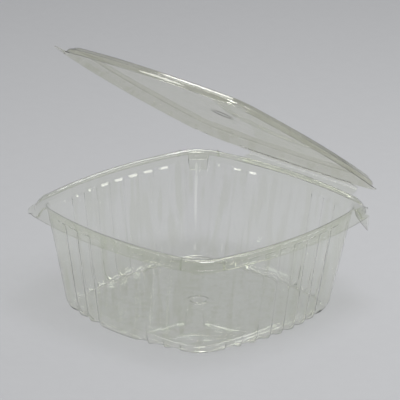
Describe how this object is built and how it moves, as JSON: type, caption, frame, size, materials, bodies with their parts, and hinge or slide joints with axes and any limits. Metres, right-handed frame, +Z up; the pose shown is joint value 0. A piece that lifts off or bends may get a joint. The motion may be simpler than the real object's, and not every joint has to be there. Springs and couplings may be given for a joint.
{
  "type": "hinged deli container",
  "caption": "Clear thin-walled takeaway container, square with bowed sides, fluted walls and a shallow lid on a living hinge, standing open.",
  "frame": {"origin": "centre of the underside of the whole outline, on the surface the tub stands on", "axes": "+Z up, +Y from the front of the container to its hinge, +X to the right seen from the front"},
  "size_m": [0.2002, 0.2131, 0.1931],
  "materials": {
    "clear_sheet": "thermoformed clear sheet, smooth and glossy, faint olive-grey cast"
  },
  "bodies": {
    "tub_body": {"tub": "clear_sheet"},
    "lid_body": {"lid": "clear_sheet"}
  },
  "joints": [
    {"name": "lid_hinge", "type": "hinge", "parent": "tub_body", "child": "lid_body", "pos_m": [0, 0.1066, 0.0758], "axis": [-1, 0, 0], "range_deg": [-33, 147]}
  ]
}
